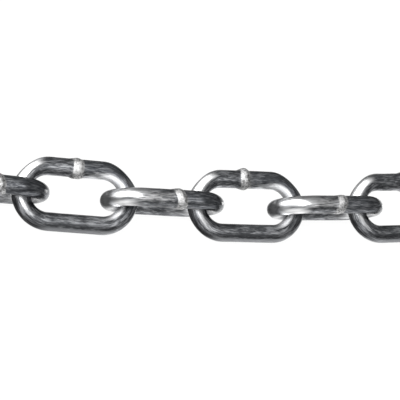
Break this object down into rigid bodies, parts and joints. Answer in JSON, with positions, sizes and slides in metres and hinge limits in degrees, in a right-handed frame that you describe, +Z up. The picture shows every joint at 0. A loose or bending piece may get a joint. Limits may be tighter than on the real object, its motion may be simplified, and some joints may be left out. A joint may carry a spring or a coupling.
{
  "type": "welded iron chain",
  "caption": "Length of long-link welded iron chain, laid out in a shallow bow, with links that swing on one another and open eyes for a hook or shackle.",
  "frame": {"origin": "on the floor, under the middle of the chain's box", "axes": "+X along the chain from its first link to its last, +Y to the side that the ends of the bow point to, +Z up"},
  "size_m": [1.0056, 0.0754, 0.0323],
  "materials": {
    "iron": "satin"
  },
  "bodies": {
    "link_01": {"link_01": "iron"},
    "link_02": {"link_02": "iron"},
    "link_03": {"link_03": "iron"},
    "link_04": {"link_04": "iron"},
    "link_05": {"link_05": "iron"},
    "link_06": {"link_06": "iron"},
    "link_07": {"link_07": "iron"},
    "link_08": {"link_08": "iron"},
    "link_09": {"link_09": "iron"},
    "link_10": {"link_10": "iron"},
    "link_11": {"link_11": "iron"},
    "link_12": {"link_12": "iron"},
    "link_13": {"link_13": "iron"},
    "link_14": {"link_14": "iron"},
    "link_15": {"link_15": "iron"},
    "link_16": {"link_16": "iron"},
    "link_17": {"link_17": "iron"},
    "link_18": {"link_18": "iron"},
    "link_19": {"link_19": "iron"},
    "link_20": {"link_20": "iron"}
  },
  "joints": [
    {"name": "link_02_swing", "type": "hinge", "parent": "link_01", "child": "link_02", "pos_m": [-0.43766, 0.02031, 0.01555], "axis": [0.0151, 0.7069, 0.7071], "range_deg": [-120, 120]},
    {"name": "link_03_swing", "type": "hinge", "parent": "link_02", "child": "link_03", "pos_m": [-0.38828, 0.01726, 0.01555], "axis": [-0.0437, -0.7058, 0.7071], "range_deg": [-120, 120]},
    {"name": "link_04_swing", "type": "hinge", "parent": "link_03", "child": "link_04", "pos_m": [-0.33905, 0.01251, 0.01555], "axis": [-0.068, -0.7038, -0.7071], "range_deg": [-120, 120]},
    {"name": "link_05_swing", "type": "hinge", "parent": "link_04", "child": "link_05", "pos_m": [-0.28994, 0.00652, 0.01555], "axis": [0.0856, 0.7019, -0.7071], "range_deg": [-120, 120]},
    {"name": "link_06_swing", "type": "hinge", "parent": "link_05", "child": "link_06", "pos_m": [-0.24092, -0.00011, 0.01555], "axis": [0.0948, 0.7007, 0.7071], "range_deg": [-120, 120]},
    {"name": "link_07_swing", "type": "hinge", "parent": "link_06", "child": "link_07", "pos_m": [-0.1919, -0.00674, 0.01555], "axis": [-0.0948, -0.7007, 0.7071], "range_deg": [-120, 120]},
    {"name": "link_08_swing", "type": "hinge", "parent": "link_07", "child": "link_08", "pos_m": [-0.1428, -0.01273, 0.01555], "axis": [-0.0856, -0.7019, -0.7071], "range_deg": [-120, 120]},
    {"name": "link_09_swing", "type": "hinge", "parent": "link_08", "child": "link_09", "pos_m": [-0.09356, -0.01748, 0.01555], "axis": [0.068, 0.7038, -0.7071], "range_deg": [-120, 120]},
    {"name": "link_10_swing", "type": "hinge", "parent": "link_09", "child": "link_10", "pos_m": [-0.04419, -0.02054, 0.01555], "axis": [0.0437, 0.7058, 0.7071], "range_deg": [-120, 120]},
    {"name": "link_11_swing", "type": "hinge", "parent": "link_10", "child": "link_11", "pos_m": [0.00526, -0.02159, 0.01555], "axis": [-0.0151, -0.7069, 0.7071], "range_deg": [-120, 120]},
    {"name": "link_12_swing", "type": "hinge", "parent": "link_11", "child": "link_12", "pos_m": [0.05472, -0.02054, 0.01555], "axis": [0.0151, -0.7069, -0.7071], "range_deg": [-120, 120]},
    {"name": "link_13_swing", "type": "hinge", "parent": "link_12", "child": "link_13", "pos_m": [0.10409, -0.01748, 0.01555], "axis": [-0.0437, 0.7058, -0.7071], "range_deg": [-120, 120]},
    {"name": "link_14_swing", "type": "hinge", "parent": "link_13", "child": "link_14", "pos_m": [0.15333, -0.01273, 0.01555], "axis": [-0.068, 0.7038, 0.7071], "range_deg": [-120, 120]},
    {"name": "link_15_swing", "type": "hinge", "parent": "link_14", "child": "link_15", "pos_m": [0.20243, -0.00674, 0.01555], "axis": [0.0856, -0.7019, 0.7071], "range_deg": [-120, 120]},
    {"name": "link_16_swing", "type": "hinge", "parent": "link_15", "child": "link_16", "pos_m": [0.25145, -0.00011, 0.01555], "axis": [0.0948, -0.7007, -0.7071], "range_deg": [-120, 120]},
    {"name": "link_17_swing", "type": "hinge", "parent": "link_16", "child": "link_17", "pos_m": [0.30047, 0.00652, 0.01555], "axis": [-0.0948, 0.7007, -0.7071], "range_deg": [-120, 120]},
    {"name": "link_18_swing", "type": "hinge", "parent": "link_17", "child": "link_18", "pos_m": [0.34958, 0.01251, 0.01555], "axis": [-0.0856, 0.7019, 0.7071], "range_deg": [-120, 120]},
    {"name": "link_19_swing", "type": "hinge", "parent": "link_18", "child": "link_19", "pos_m": [0.39882, 0.01726, 0.01555], "axis": [0.068, -0.7038, 0.7071], "range_deg": [-120, 120]},
    {"name": "link_20_swing", "type": "hinge", "parent": "link_19", "child": "link_20", "pos_m": [0.44819, 0.02031, 0.01555], "axis": [0.0437, -0.7058, -0.7071], "range_deg": [-120, 120]}
  ]
}
